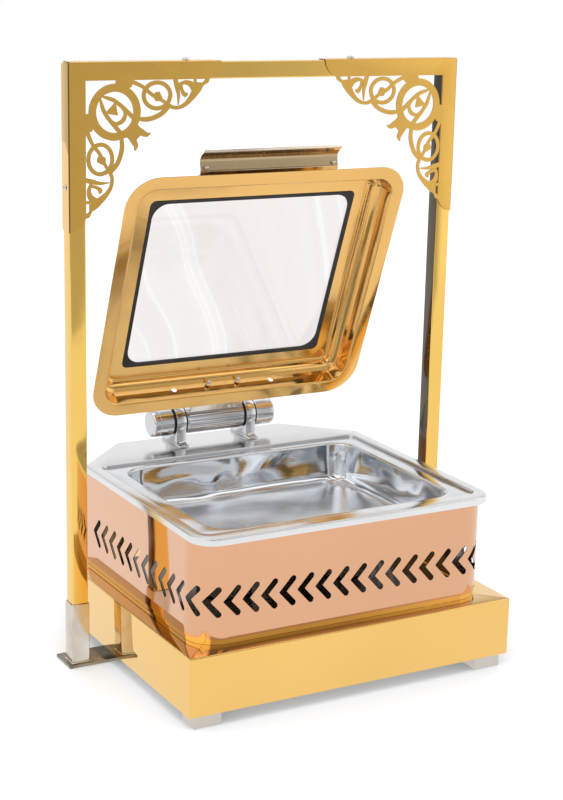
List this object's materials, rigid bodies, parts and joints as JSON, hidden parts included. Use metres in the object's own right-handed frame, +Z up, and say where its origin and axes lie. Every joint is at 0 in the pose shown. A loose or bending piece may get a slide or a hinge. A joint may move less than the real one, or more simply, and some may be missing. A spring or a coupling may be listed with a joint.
{
  "type": "chafing dish",
  "caption": "Rectangular buffet chafing dish on a plinth, with a hinged glass-window lid and an arch stand with filigree corner brackets.",
  "frame": {"origin": "on the floor, at the middle of the footprint", "axes": "+Z up; -Y is the guest's side, where the lid opens; X runs along the arch, and the lid's hinge turns about it"},
  "size_m": [0.677, 0.55, 0.9173],
  "materials": {
    "gold_mirror": "mirror-polished gold-tone stainless sheet",
    "gold_satin": "satin gold-tone stainless tube and sheet",
    "rose_copper": "mirror-polished rose-copper-tone stainless sheet",
    "polished_steel": "polished stainless steel",
    "brushed_steel": "brushed stainless steel",
    "black_rubber": "matt moulded silicone rubber",
    "clear_glass": "clear toughened glass"
  },
  "bodies": {
    "root": {"arch_top_bar": "gold_satin", "arch_upright_left": "gold_satin", "arch_upright_right": "gold_satin", "body_ring": "gold_mirror", "bracket_bolt_left": "brushed_steel", "bracket_bolt_right": "brushed_steel", "bracket_screw_left": "brushed_steel", "bracket_screw_right": "brushed_steel", "burner_cup_left": "brushed_steel", "burner_cup_right": "brushed_steel", "burner_pin_left": "brushed_steel", "burner_pin_right": "brushed_steel", "copper_skirt": "rose_copper", "corner_bracket_left": "gold_satin", "corner_bracket_right": "gold_satin", "deck_plate": "polished_steel", "deck_post_front_left": "brushed_steel", "deck_post_front_right": "brushed_steel", "deck_post_rear_left": "brushed_steel", "deck_post_rear_right": "brushed_steel", "food_pan": "polished_steel", "foot_front_left": "brushed_steel", "foot_front_right": "brushed_steel", "foot_rear_left": "brushed_steel", "foot_rear_right": "brushed_steel", "hinge_bracket_left": "polished_steel", "hinge_bracket_right": "polished_steel", "hinge_cap_left": "polished_steel", "hinge_cap_right": "polished_steel", "hinge_shaft": "brushed_steel", "hinge_washer_inner_left": "black_rubber", "hinge_washer_inner_right": "black_rubber", "hinge_washer_outer_left": "black_rubber", "hinge_washer_outer_right": "black_rubber", "plinth_base_plate": "brushed_steel", "plinth_shell": "gold_mirror", "rear_panel": "brushed_steel", "stand_crossbar": "brushed_steel", "stand_socket_left": "brushed_steel", "stand_socket_right": "brushed_steel", "water_pan": "polished_steel"},
    "lid": {"handle_angle": "brushed_steel", "handle_screw_high_left": "brushed_steel", "handle_screw_high_right": "brushed_steel", "handle_screw_low_left": "brushed_steel", "handle_screw_low_right": "brushed_steel", "hinge_barrel": "polished_steel", "hinge_leaf": "brushed_steel", "leaf_nut_left": "polished_steel", "leaf_nut_right": "polished_steel", "lid_handle": "gold_satin", "lid_shell": "gold_mirror", "window_gasket": "black_rubber", "window_glass": "clear_glass"},
    "burner_cover_left": {"burner_cover_left": "brushed_steel"},
    "burner_cover_right": {"burner_cover_right": "brushed_steel"}
  },
  "joints": [
    {"name": "lid_hinge", "type": "hinge", "parent": "root", "child": "lid", "pos_m": [0, 0.2118, 0.3135], "axis": [1, 0, 0], "range_deg": [0, 68.6]},
    {"name": "burner_cover_left_swivel", "type": "hinge", "parent": "root", "child": "burner_cover_left", "pos_m": [-0.105, 0.003, 0.1576], "axis": [0, 0, 1], "range_deg": [-110, 0]},
    {"name": "burner_cover_right_swivel", "type": "hinge", "parent": "root", "child": "burner_cover_right", "pos_m": [0.105, 0.003, 0.1576], "axis": [0, 0, 1], "range_deg": [0, 110]}
  ]
}
